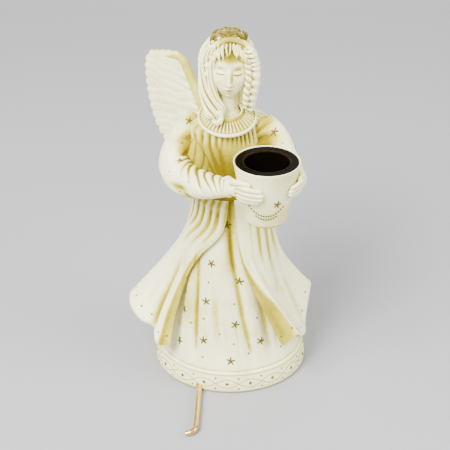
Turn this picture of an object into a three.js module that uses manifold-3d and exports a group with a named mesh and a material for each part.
// A standing ceramic angel that holds a small pail in front of the chest. The pail takes a lift-out
// candle cup, and a brass hook turns in the foot ring, to hang something over the edge of a shelf.
// Units are millimetres. +Z is up, the figure looks along -Y, and the origin is under the middle of
// the foot, on the surface that the figure stands on. Angles "round the figure" start at the front
// (-Y) and grow towards the figure's left hand (+X).

import * as THREE from "three";
import { ParametricGeometry } from "three/addons/geometries/ParametricGeometry.js";
import { mergeVertices } from "three/addons/utils/BufferGeometryUtils.js";
import Module from "manifold-3d";

const wasm = await Module();
wasm.setup();

// ---------------------------------------------------------------- driving dimensions
const FOOT_HALF_WIDTH = 57;
const FOOT_HALF_DEPTH = 49.5;
const WAIST_HEIGHT = 150;
const WALL = 4; // thickness of the cast walls
const GAP = 0.35; // between pieces that touch
const TORSO_TURN = 22; // degrees that the torso is turned towards the figure's left

// Outline of the gown, from the foot to the waist: [height, half width, half depth]
const GOWN_OUTLINE = [
  [0, 56, 48.5],
  [2, FOOT_HALF_WIDTH, FOOT_HALF_DEPTH],
  [17, 55, 47.8],
  [20, 53, 46],
  [40, 47, 42],
  [60, 42, 38.5],
  [80, 37, 35],
  [100, 32, 31.5],
  [125, 26.5, 27.5],
  [WAIST_HEIGHT, 22, 23],
];
// Hollows between the folds of the gown: [angle round the figure, half width in degrees, depth]
const GOWN_FOLDS = [
  [-31, 5, 3],
  [-10, 9, 2.4],
  [16, 5, 3.2],
  [42, 8, 2.2],
];
const GOWN_FOOT = 0.4; // the felt stands this much lower than the ceramic foot
const HEM_BAND = 18;

// The over-robe's skirt. Angles of its two front edges, by share of the way from waist to hem.
const ROBE_TOP = 147;
const ROBE_WALL = 3;
const ROBE_LEFT_EDGE = [5, 8, 12, 22, 35, 40];
const ROBE_RIGHT_EDGE = [-3, -10, -42, -54, -54, -48];
// Hem of the over-robe from its left front edge round the back: [share of the way round, radius, height]
const ROBE_HEM = [
  [0, 57.5, 41],
  [0.025, 65, 51],
  [0.07, 61.5, 40],
  [0.13, 58.5, 34],
  [0.17, 56, 44],
  [0.2, 61, 63],
  [0.245, 58, 52],
  [0.3, 56, 36],
  [0.38, 54, 30],
  [0.46, 57, 27],
  [0.54, 53, 29],
  [0.62, 57, 27],
  [0.7, 56, 32],
  [0.77, 59, 42],
  [0.82, 70, 53],
  [0.86, 76, 57],
  [0.905, 72, 49],
  [0.945, 63, 43],
  [0.975, 62, 35],
  [1, 57, 36],
];
const ROBE_FRONT_SHARE = 0.25; // the front panels each take this share of the skirt

// Torso, turned with TORSO_TURN: [height, half width, half depth]
const TORSO = [
  [WAIST_HEIGHT + GAP, 21, 19.5],
  [162, 20.5, 19.5],
  [174, 23.5, 21],
  [186, 27, 21.5],
  [196, 28, 19.5],
  [203, 25, 16],
  [208, 17, 12.5],
];
const TORSO_CENTRE = new THREE.Vector2(-2, -2);

// Arms: spine of each sleeve and its half thickness along it
const RIGHT_SLEEVE = [
  [-22, 2, 197, 12],
  [-35, -5, 186, 14],
  [-40, -16, 174.5, 13.5],
  [-32, -31, 170, 11],
  [-17, -46, 176, 8.5],
  [-5, -56, 181, 6.5],
];
const LEFT_SLEEVE = [
  [20, 0, 197, 12],
  [29, -6, 187, 12.5],
  [33.5, -17, 176, 12.5],
  [37, -32, 173, 10.5],
  [40.5, -45, 177, 8],
];
const RIGHT_HAND = { centre: [7, -66, 179.5], half: [13.5, 11, 8.5] };
const LEFT_HAND = { centre: [44, -58, 181.5], half: [7, 9.5, 9] };
const HAND_THICKNESS = 6.5; // how far the hands stand out from the side of the pail

const PAIL = {
  centre: new THREE.Vector2(23, -52),
  top: 196,
  foot: 152,
  rimRadius: 22,
  footRadius: 14,
  wall: 2.6,
  floor: 4,
  seatRadius: 21.1, // rebate that the candle cup's flange drops into
  seatDepth: 1.4,
};
const CUP = { flangeRadius: 20.7, flangeThickness: 1, boreRadius: 14.9, footRadius: 12.6, depth: 27, wall: 0.9 };
const CUP_LIFT_CLEARANCE = 0.2;

const HEAD = { centre: [-1.5, -5, 241], half: [14.5, 17.5, 21] };
const NECK = { radius: 8.2, bottom: [-2, -4.5, 204], top: [-1.8, -6.5, 228] };
const HAIR = { centre: [-2, -1.5, 242.5], half: [20.3, 20.5, 23] };
const FACE_OPENING = { centre: [-1.5, -22, 235.5], half: [12.6, 14, 18] };
const RIGHT_LOCK = [
  [-18, -8, 243, 4.2],
  [-18.8, -11, 230, 5.2],
  [-15, -14, 218, 6.2],
  [-11, -17.5, 210.5, 5.6],
];
const LEFT_LOCK = [
  [16, -10, 247, 3.8],
  [16.5, -11, 233, 4.6],
  [14.5, -11, 219, 4.4],
  [13.5, -9.5, 210, 3.8],
];
const COLLAR = { centre: [-2, -7, 204.5], outerRadius: 19.5, innerRadius: 11.5, rise: 5, thickness: 3, tilt: 15 };
// The tiara is a crescent that stands on the hair: half width and height outside and inside
const TIARA = { centre: [-2, -7.5, 243.5], outside: [19.4, 26.3], inside: [17, 17.5], thickness: 2.4, lean: 6 };

// Wing outline in its own plane: distance outwards from the root line, and height
const WING_OUTLINE = [
  [-3, 170],
  [-3, 186],
  [3, 196],
  [9, 203],
  [15, 217],
  [21, 228],
  [25, 234.5],
  [29, 236],
  [36, 233.5],
  [48, 228],
  [58, 223.5],
  [63.5, 219],
  [63.5, 205],
  [62, 192],
  [58.5, 179],
  [54, 167],
  [47, 157],
  [36, 151.5],
  [22, 152],
  [8, 158],
];
const WING_THICKNESS = 5;
const WING_SWEEP = 28; // degrees outwards from straight back, seen from above
const WING_ROOT = 5; // from the torso's centre line out to the wing's root
const WING_ROOT_BACK = 20; // from the torso's centre back to the wing's root
const PEG = { radius: 2, length: 15, height: 182, out: 2.5 };

const HOOK = { radius: 1.9, height: 4, exit: [-22.9, -45.3], aim: 2.2, reach: 43.5, inside: 15 };
// Bend at the end of the hook, measured from the end of its straight part
const HOOK_BEND = [
  [0, 0, 0],
  [-0.4, -3, 0],
  [-2, -5.6, -0.5],
  [-4.8, -6.7, -1.3],
  [-7.2, -6.6, -1.9],
];
const HOOK_TIP = 2; // radius of the rounded tip
const BUSH = { radius: 2.8, bore: 1.96, flangeRadius: 3.4, flange: 1, length: 8 };
const HOOK_COLLAR = { radius: 3.2, length: 3 };
const HOOK_WASHER = { radius: 3.2, length: 0.5 };
const HOOK_ROOM = { width: 9, length: 22 }; // slot for the hook's bearing in the felt and the plate

const BASE_PLATE = { bottom: 1.5, thickness: 1.2, inset: 6.2 };
const FELT = { thickness: 1.2, inset: 5.6 };
const BALLAST = { bottom: 3.1, height: 14, inset: 14.5 };
const SCREW = { circle: 27, shank: 1.5, length: 8, head: 2.9, headHeight: 1.1 };
const SCREW_ANGLES = [30, 150, 270];

// ---------------------------------------------------------------- materials
const ceramic = new THREE.MeshStandardMaterial({ color: 0xf1edd3, roughness: 0.45, metalness: 0 });
const gilt = new THREE.MeshStandardMaterial({ color: 0xb39b4a, roughness: 0.4, metalness: 0.6 });
const darkMetal = new THREE.MeshStandardMaterial({ color: 0x15100b, roughness: 0.25, metalness: 0.8 });
const brass = new THREE.MeshStandardMaterial({ color: 0xd9b968, roughness: 0.3, metalness: 1 });
const iron = new THREE.MeshStandardMaterial({ color: 0x4a4844, roughness: 0.7, metalness: 0.8 });
const steel = new THREE.MeshStandardMaterial({ color: 0x9a9a9c, roughness: 0.4, metalness: 1 });
const feltCloth = new THREE.MeshStandardMaterial({ color: 0xdad4c0, roughness: 0.95, metalness: 0 });

// ---------------------------------------------------------------- small helpers
const radians = THREE.MathUtils.degToRad;
const lerp = THREE.MathUtils.lerp;
const FULL_TURN = Math.PI * 2;

// Values of a table at x, joined by straight lines. Each row is [x, value, value, ...].
function lookUp(table, x) {
  const last = table.length - 1;
  const clamped = THREE.MathUtils.clamp(x, table[0][0], table[last][0]);
  const after = Math.max(1, table.findIndex((row) => row[0] >= clamped));
  const [a, b] = [table[after - 1], table[after]];
  const share = (clamped - a[0]) / (b[0] - a[0]);
  return a.slice(1).map((value, i) => lerp(value, b[i + 1], share));
}

// Value of an evenly spaced list at a share from 0 to 1
function along(list, share) {
  const rows = list.map((value, i) => [i / (list.length - 1), value]);
  return lookUp(rows, share)[0];
}

// Point at a radius and an angle round the figure
function around(angleDegrees, radius, height) {
  const angle = radians(angleDegrees);
  return new THREE.Vector3(radius * Math.sin(angle), -radius * Math.cos(angle), height);
}

function toSolid(geometry) {
  const bare = geometry.clone();
  bare.deleteAttribute("normal");
  bare.deleteAttribute("uv");
  const merged = mergeVertices(bare, 1e-3);
  const mesh = {
    numProp: 3,
    vertProperties: new Float32Array(merged.attributes.position.array),
    triVerts: new Uint32Array(merged.index.array),
  };
  const solid = new wasm.Manifold(new wasm.Mesh(mesh));
  if (solid.volume() > 0) return solid;
  for (let i = 0; i < mesh.triVerts.length; i += 3) {
    const first = mesh.triVerts[i];
    mesh.triVerts[i] = mesh.triVerts[i + 1];
    mesh.triVerts[i + 1] = first;
  }
  return new wasm.Manifold(new wasm.Mesh(mesh));
}

function toGeometry(solid) {
  const made = solid.getMesh();
  const geometry = new THREE.BufferGeometry();
  geometry.setAttribute("position", new THREE.BufferAttribute(made.vertProperties, 3));
  geometry.setIndex(new THREE.BufferAttribute(made.triVerts, 1));
  geometry.computeVertexNormals();
  return geometry;
}

// The largest body of a solid, which drops slivers that a cut leaves behind
function mainBody(solid) {
  return solid.decompose().reduce((big, body) => (body.volume() > big.volume() ? body : big));
}

function cut(solid, ...tools) {
  return mainBody(tools.reduce((left, tool) => left.subtract(tool), solid));
}

const figure = new THREE.Group();

function add(name, solid, material) {
  const mesh = new THREE.Mesh(toGeometry(solid), material);
  mesh.name = name;
  figure.add(mesh);
}

// A closed skin over a grid: rings of points, whose first and last ring shrink to their middle
function ringSkin(sides, rings, ringPoint, ringMiddle) {
  const pointAt = (u, v, target) => {
    const ring = Math.round(v * (rings + 2)) - 1;
    const share = THREE.MathUtils.clamp(ring / rings, 0, 1);
    const capped = ring < 0 || ring > rings;
    target.copy(capped ? ringMiddle(share) : ringPoint((u % 1) * FULL_TURN, share));
  };
  return toSolid(new ParametricGeometry(pointAt, sides, rings + 2));
}

// Rings stacked upwards: rows are [height, half width, half depth]
function stack(rows, centre, turn, grow = 0, sides = 32) {
  const middle = (share) => {
    const row = rows[Math.round(share * (rows.length - 1))];
    const end = share === 0 ? -grow : share === 1 ? grow : 0;
    return new THREE.Vector3(centre.x, centre.y, row[0] + end);
  };
  const point = (angle, share) => {
    const row = rows[Math.round(share * (rows.length - 1))];
    const offset = new THREE.Vector3((row[1] + grow) * Math.cos(angle), (row[2] + grow) * Math.sin(angle), 0);
    return middle(share).add(offset.applyAxisAngle(new THREE.Vector3(0, 0, 1), radians(turn)));
  };
  return ringSkin(sides, rows.length - 1, point, middle);
}

// A soft tube through points [x, y, z, half thickness], with rounded ends
function softTube(points, grow = 0, rings = 10, sides = 16) {
  const spine = new THREE.CatmullRomCurve3(points.map((p) => new THREE.Vector3(p[0], p[1], p[2])));
  const thickness = points.map((p) => p[3]);
  const frames = spine.computeFrenetFrames(rings, false);
  const middle = (share) => spine.getPoint(share);
  const point = (angle, share) => {
    const i = Math.round(share * rings);
    const end = share === 0 || share === 1 ? 0.72 : 1;
    const radius = along(thickness, share) * end + grow;
    return middle(share)
      .addScaledVector(frames.normals[i], radius * Math.cos(angle))
      .addScaledVector(frames.binormals[i], radius * Math.sin(angle));
  };
  return ringSkin(sides, rings, point, middle);
}

function ellipsoid({ centre, half }, grow = 0, sides = 22, rings = 14) {
  const geometry = new THREE.SphereGeometry(1, sides, rings);
  geometry.rotateX(Math.PI / 2);
  geometry.scale(half[0] + grow, half[1] + grow, half[2] + grow);
  geometry.translate(...centre);
  return toSolid(geometry);
}

// A turned shape from a profile of [radius, height], standing at x, y
function turned(profile, x, y, sides = 32) {
  const points = profile.map((p) => new THREE.Vector2(p[0], p[1]));
  const geometry = new THREE.LatheGeometry(points, sides);
  geometry.rotateX(Math.PI / 2);
  geometry.translate(x, y, 0);
  return toSolid(geometry);
}

function cylinder(radius, length, sides = 24) {
  return new THREE.CylinderGeometry(radius, radius, length, sides);
}

// Flat plate with an oval outline
function ovalPlate(halfWidth, halfDepth, bottom, thickness, points = 18) {
  const shape = new THREE.Shape();
  shape.absellipse(0, 0, halfWidth, halfDepth, 0, FULL_TURN, false);
  const geometry = new THREE.ExtrudeGeometry(shape, { depth: thickness, bevelEnabled: false, curveSegments: points });
  geometry.translate(0, 0, bottom);
  return toSolid(geometry);
}

// ---------------------------------------------------------------- gown
// Radius of the gown at an angle and a height: an oval, less the hollows between the folds
function gownRadius(angleDegrees, height) {
  const [halfWidth, halfDepth] = lookUp(GOWN_OUTLINE, height);
  const angle = radians(angleDegrees);
  const oval = 1 / Math.hypot(Math.sin(angle) / halfWidth, Math.cos(angle) / halfDepth);
  const rise = THREE.MathUtils.smoothstep(height, HEM_BAND, HEM_BAND + 6);
  const fade = rise * (1 - THREE.MathUtils.smoothstep(height, 60, 130));
  const hollow = GOWN_FOLDS.reduce((sum, [centre, width, depth]) => {
    const away = ((angleDegrees - centre + 540) % 360) - 180;
    return sum + depth * Math.exp(-((away / width) ** 2));
  }, 0);
  return oval - hollow * fade;
}

function gownBody(inset, bottom, top, sides = 54) {
  const rows = GOWN_OUTLINE.map((row) => row[0]).filter((height) => height > bottom && height < top);
  const heights = [bottom, ...rows, top];
  const middle = (share) => new THREE.Vector3(0, 0, heights[Math.round(share * (heights.length - 1))]);
  const point = (angle, share) => {
    const height = heights[Math.round(share * (heights.length - 1))];
    const degrees = THREE.MathUtils.radToDeg(angle);
    return around(degrees, gownRadius(degrees, height) - inset, height);
  };
  return ringSkin(sides, heights.length - 1, point, middle);
}

// ---------------------------------------------------------------- over-robe
// Point on the over-robe at a share of the way round and of the way down. Its radius grows from the
// waist to the hem with a power that makes the flared lobes swing out late.
function robePoint(round, down, inset) {
  const leftEdge = along(ROBE_LEFT_EDGE, down);
  const rightEdge = along(ROBE_RIGHT_EDGE, down) + 360;
  const angle = lerp(leftEdge, rightEdge, round);
  const [hemRadius, hemHeight] = lookUp(ROBE_HEM, round);
  const height = lerp(ROBE_TOP, hemHeight, down);
  const waistRadius = gownRadius(angle, ROBE_TOP) + ROBE_WALL + 1;
  const flare = hemRadius - gownRadius(angle, hemHeight) > 8 ? 2.2 : 1.25;
  const radius = lerp(waistRadius, hemRadius, down ** flare);
  const clear = gownRadius(angle, height) + ROBE_WALL + 0.6;
  return around(angle, Math.max(radius, clear) - inset, height);
}

// Part of the robe's skirt between two shares of the way round, as a closed sheet
function robeSheet(from, to, columns, rows = 9) {
  const loop = 2 * rows + 2;
  const pointAt = (u, v, target) => {
    const step = Math.round(v * (loop + 1)) % (loop + 1);
    const outer = step <= rows;
    const down = step === loop ? 0 : outer ? step / rows : (loop - 1 - step) / rows;
    const side = Math.abs(2 * u - 1);
    const thickness = side > 0.999 ? 0 : ROBE_WALL;
    const inset = outer && step !== loop ? 0 : thickness;
    target.copy(robePoint(lerp(from, to, u), Math.max(down, 0), step === 0 || step === loop + 1 ? 0 : inset));
  };
  return toSolid(new ParametricGeometry(pointAt, columns, loop + 1));
}

// ---------------------------------------------------------------- wings
// A wing is a flat plate that stands upright and runs back and outwards from the torso
function wing(side, grow = 0) {
  const shape = new THREE.Shape(WING_OUTLINE.map(([out, height]) => new THREE.Vector2(out, height)));
  const depth = WING_THICKNESS + 2 * grow;
  const geometry = new THREE.ExtrudeGeometry(shape, {
    depth: depth - 2,
    bevelThickness: 1,
    bevelSize: 1,
    bevelOffset: -1 + grow,
    bevelSegments: 1,
  });
  geometry.translate(0, 0, 1 - depth / 2);
  return toSolid(onWingPlane(geometry, side));
}

// The peg lies level, along the wing, with half its length in the wing and half in the torso
function wingPeg(side, grow = 0) {
  const geometry = cylinder(PEG.radius + grow, PEG.length + 2 * grow, 16);
  geometry.rotateZ(Math.PI / 2);
  geometry.translate(PEG.out, PEG.height, 0);
  return toSolid(onWingPlane(geometry, side));
}

// Stands a shape drawn as x = distance out and y = height up on the plane of a wing
function onWingPlane(geometry, side) {
  geometry.rotateX(Math.PI / 2);
  geometry.rotateZ(Math.PI / 2 - side * radians(WING_SWEEP));
  geometry.translate(side * WING_ROOT, WING_ROOT_BACK, 0);
  geometry.rotateZ(radians(TORSO_TURN));
  geometry.translate(TORSO_CENTRE.x, TORSO_CENTRE.y, 0);
  return geometry;
}

// ---------------------------------------------------------------- pail and candle cup
function pailOutside(grow = 0) {
  const { top, foot, rimRadius, footRadius } = PAIL;
  const profile = [
    [0, foot - grow],
    [footRadius - 2 + grow, foot - grow],
    [footRadius + grow, foot + 2],
    [rimRadius + grow, top + grow],
    [0, top + grow],
  ];
  return turned(profile, PAIL.centre.x, PAIL.centre.y);
}

function pail() {
  const { top, foot, rimRadius, footRadius, wall, floor, seatRadius, seatDepth } = PAIL;
  const profile = [
    [0, foot],
    [footRadius - 2, foot],
    [footRadius, foot + 2],
    [rimRadius, top],
    [seatRadius, top],
    [seatRadius, top - seatDepth],
    [rimRadius - wall - 0.4, top - seatDepth],
    [footRadius + 0.4 - wall, foot + floor],
    [0, foot + floor],
  ];
  return turned(profile, PAIL.centre.x, PAIL.centre.y);
}

function candleCup() {
  const { flangeRadius, flangeThickness, boreRadius, footRadius, depth, wall } = CUP;
  const seat = PAIL.top - PAIL.seatDepth + CUP_LIFT_CLEARANCE;
  const foot = PAIL.top - depth;
  const profile = [
    [0, foot],
    [footRadius + wall, foot],
    [boreRadius + wall, seat],
    [flangeRadius, seat],
    [flangeRadius, seat + flangeThickness],
    [boreRadius, seat + flangeThickness],
    [footRadius, foot + wall],
    [0, foot + wall],
  ];
  return turned(profile, PAIL.centre.x, PAIL.centre.y);
}

// ---------------------------------------------------------------- hands, head, hair, collar
// A closed hand lies against the pail: the part of an ellipsoid that is near the pail's side
function hand(shape) {
  return ellipsoid(shape, 0, 18, 12).intersect(pailOutside(HAND_THICKNESS)).subtract(pailOutside(GAP));
}

function headAndNeck(grow = 0) {
  const spine = [NECK.bottom, NECK.top].map((point) => new THREE.Vector3(...point));
  const rod = new THREE.LineCurve3(spine[0], spine[1]);
  const shape = new THREE.Shape();
  shape.absarc(0, 0, NECK.radius + grow, 0, FULL_TURN, false);
  const neck = toSolid(new THREE.ExtrudeGeometry(shape, { extrudePath: rod, steps: 1, curveSegments: 20 }));
  return ellipsoid(HEAD, grow).add(neck);
}

function hairCap(grow = 0) {
  return ellipsoid(HAIR, grow, 24, 16);
}

// The pleated collar is a shallow cone round the neck, tilted down at the front
function collar(grow = 0) {
  const { centre, outerRadius, innerRadius, rise, thickness, tilt } = COLLAR;
  const profile = [
    [innerRadius - grow, rise + thickness + grow],
    [innerRadius - grow, rise - grow],
    [outerRadius + grow, -grow],
    [outerRadius + grow, thickness + grow],
    [innerRadius - grow, rise + thickness + grow],
  ].map((p) => new THREE.Vector2(p[0], p[1]));
  const geometry = new THREE.LatheGeometry(profile, 36);
  geometry.rotateX(Math.PI / 2 + radians(tilt));
  geometry.translate(...centre);
  return toSolid(geometry);
}

// The tiara is a flat crescent, leaning back a little, that follows the top of the hair
function tiara() {
  const { centre, outside, inside, thickness, lean } = TIARA;
  const start = radians(28);
  const end = Math.PI - start;
  const outer = new THREE.EllipseCurve(0, 0, ...outside, start, end).getPoints(18);
  const inner = new THREE.EllipseCurve(0, 0, ...inside, start, end).getPoints(18).reverse();
  const shape = new THREE.Shape([...outer, ...inner]);
  const geometry = new THREE.ExtrudeGeometry(shape, { depth: thickness, bevelEnabled: false });
  geometry.translate(0, 0, -thickness / 2);
  geometry.rotateX(Math.PI / 2 - radians(lean));
  geometry.translate(...centre);
  return toSolid(geometry);
}

// ---------------------------------------------------------------- hook and its bearing
const hookAim = around(-HOOK.aim, 1, 0);
const hookExit = new THREE.Vector3(HOOK.exit[0], HOOK.exit[1], HOOK.height);

function onHookAxis(outwards) {
  return hookExit.clone().addScaledVector(hookAim, outwards);
}

// A ring or rod on the hook's axis, from one distance outwards of the exit to another
function onAxis(radius, from, to, sides = 24) {
  const geometry = cylinder(radius, to - from, sides);
  geometry.rotateZ(radians(-HOOK.aim));
  const middle = onHookAxis((from + to) / 2);
  geometry.translate(middle.x, middle.y, middle.z);
  return toSolid(geometry);
}

// The rod runs straight out, bends towards the figure's right and ends in a rounded tip
function hookRod() {
  const end = onHookAxis(HOOK.reach);
  const bend = HOOK_BEND.map((step) => end.clone().add(new THREE.Vector3(...step)));
  const path = new THREE.CatmullRomCurve3([onHookAxis(HOOK.reach - 2), ...bend]);
  const shape = new THREE.Shape();
  shape.absarc(0, 0, HOOK.radius, 0, FULL_TURN, false);
  const bent = toSolid(new THREE.ExtrudeGeometry(shape, { extrudePath: path, steps: 12, curveSegments: 8 }));
  const tip = ellipsoid({ centre: bend.at(-1).toArray(), half: [HOOK_TIP, HOOK_TIP, HOOK_TIP] }, 0, 12, 8);
  return onAxis(HOOK.radius, -HOOK.inside, HOOK.reach - 0.5, 16).add(bent).add(tip);
}

// A box round the hook's inner end, up to a height, to clear the felt and the base plate
function hookSlot(top) {
  const geometry = new THREE.BoxGeometry(HOOK_ROOM.width, HOOK_ROOM.length, 2 * top);
  geometry.rotateZ(radians(-HOOK.aim));
  const middle = onHookAxis(3 - HOOK_ROOM.length / 2);
  geometry.translate(middle.x, middle.y, 0);
  return toSolid(geometry);
}

// ---------------------------------------------------------------- base
function screwAt(angle, grow = 0) {
  const at = around(angle, SCREW.circle, 0);
  const profile = [
    [0, BASE_PLATE.bottom + 0.1],
    [SCREW.head + grow, BASE_PLATE.bottom + 0.1],
    [SCREW.shank + grow, BASE_PLATE.bottom + 0.1 + SCREW.headHeight],
    [SCREW.shank + grow, BASE_PLATE.bottom + SCREW.length + grow],
    [0, BASE_PLATE.bottom + SCREW.length + grow],
  ];
  return turned(profile, at.x, at.y, 16);
}

// ---------------------------------------------------------------- assembly
const torso = (grow) => stack(TORSO, TORSO_CENTRE, TORSO_TURN, grow);
const torsoHollow = stack(
  TORSO.slice(0, -1).map(([height, width, depth], i) => [height - (i ? 2 : 1), width - WALL, depth - WALL]),
  TORSO_CENTRE,
  TORSO_TURN,
);
const rightSleeve = (grow) => softTube(RIGHT_SLEEVE, grow);
const leftSleeve = (grow) => softTube(LEFT_SLEEVE, grow);
const gownOutside = (grow) => gownBody(-grow, -1, WAIST_HEIGHT + grow);

const hookHole = onAxis(BUSH.radius + 0.1, -20, 6);
const hookRoom = onAxis(HOOK_COLLAR.radius + 1, -HOOK.inside - 4, 6);
const plateSlot = hookSlot(BASE_PLATE.bottom + BASE_PLATE.thickness + 1);

const gown = cut(gownBody(0, GOWN_FOOT, WAIST_HEIGHT), gownBody(WALL, -1, WAIST_HEIGHT + 1), hookHole);
add("gown", gown, ceramic);

const robeClearance = gownOutside(GAP);
add("robe_panel_left", cut(robeSheet(0, ROBE_FRONT_SHARE - 0.002, 16), robeClearance), ceramic);
add("robe_back", cut(robeSheet(ROBE_FRONT_SHARE, 1 - ROBE_FRONT_SHARE, 18), robeClearance), ceramic);
add("robe_panel_right", cut(robeSheet(1.002 - ROBE_FRONT_SHARE, 1, 16), robeClearance), ceramic);

const pegHoles = wingPeg(1, 0.15).add(wingPeg(-1, 0.15));
add("bodice", cut(torso(0), torsoHollow, pegHoles), ceramic);
for (const [name, side] of [["left", 1], ["right", -1]]) {
  const body = wing(side);
  add(`wing_${name}`, cut(body, torso(GAP), rightSleeve(GAP), leftSleeve(GAP), wingPeg(side, 0.15)), ceramic);
  add(`wing_peg_${name}`, wingPeg(side), steel);
}

const pailBlock = pailOutside(GAP);
add("sleeve_right", cut(rightSleeve(0), torso(GAP), pailBlock), ceramic);
add("sleeve_left", cut(leftSleeve(0), torso(GAP), pailBlock), ceramic);
add("hand_right", cut(hand(RIGHT_HAND), rightSleeve(GAP)), ceramic);
add("hand_left", cut(hand(LEFT_HAND), leftSleeve(GAP)), ceramic);

add("pail", pail(), ceramic);
add("candle_cup", candleCup(), darkMetal);

add("head", cut(headAndNeck(0), torso(GAP)), ceramic);
add("hair", cut(hairCap(0), headAndNeck(GAP), ellipsoid(FACE_OPENING)), ceramic);
add("collar", cut(collar(0), headAndNeck(GAP), torso(GAP)), ceramic);
const hairBlock = hairCap(GAP);
add("hair_lock_right", cut(softTube(RIGHT_LOCK), hairBlock, headAndNeck(GAP), collar(GAP), torso(GAP)), ceramic);
add("hair_lock_left", cut(softTube(LEFT_LOCK), hairBlock, headAndNeck(GAP), collar(GAP), torso(GAP)), ceramic);
add("tiara", cut(tiara(), hairBlock), gilt);

add("hook", hookRod(), brass);
const bushBore = onAxis(BUSH.bore, -20, 6);
const bushBody = onAxis(BUSH.radius, -BUSH.length, -0.2).add(onAxis(BUSH.flangeRadius, -BUSH.length, BUSH.flange - BUSH.length));
add("hook_bush", cut(bushBody, bushBore), brass);
const collarStart = -BUSH.length - HOOK_WASHER.length - 0.15;
const washer = onAxis(HOOK_WASHER.radius, collarStart + 0.05, -BUSH.length - 0.1).subtract(bushBore);
add("hook_washer", washer, steel);
const collarRing = onAxis(HOOK_COLLAR.radius, collarStart - HOOK_COLLAR.length, collarStart).subtract(bushBore);
add("hook_collar", collarRing, steel);

const screwHoles = SCREW_ANGLES.map((angle) => screwAt(angle, 0.12)).reduce((a, b) => a.add(b));
const ballast = ovalPlate(FOOT_HALF_WIDTH - BALLAST.inset, FOOT_HALF_DEPTH - BALLAST.inset, BALLAST.bottom, BALLAST.height);
add("ballast", cut(ballast, hookRoom, screwHoles), iron);
const plate = ovalPlate(
  FOOT_HALF_WIDTH - BASE_PLATE.inset,
  FOOT_HALF_DEPTH - BASE_PLATE.inset,
  BASE_PLATE.bottom,
  BASE_PLATE.thickness,
);
add("base_plate", cut(plate, plateSlot, screwHoles), steel);
SCREW_ANGLES.forEach((angle, i) => add(`base_screw_${i + 1}`, screwAt(angle), steel));
const felt = ovalPlate(FOOT_HALF_WIDTH - FELT.inset, FOOT_HALF_DEPTH - FELT.inset, 0, FELT.thickness);
add("felt_pad", cut(felt, plateSlot), feltCloth);

export default figure;
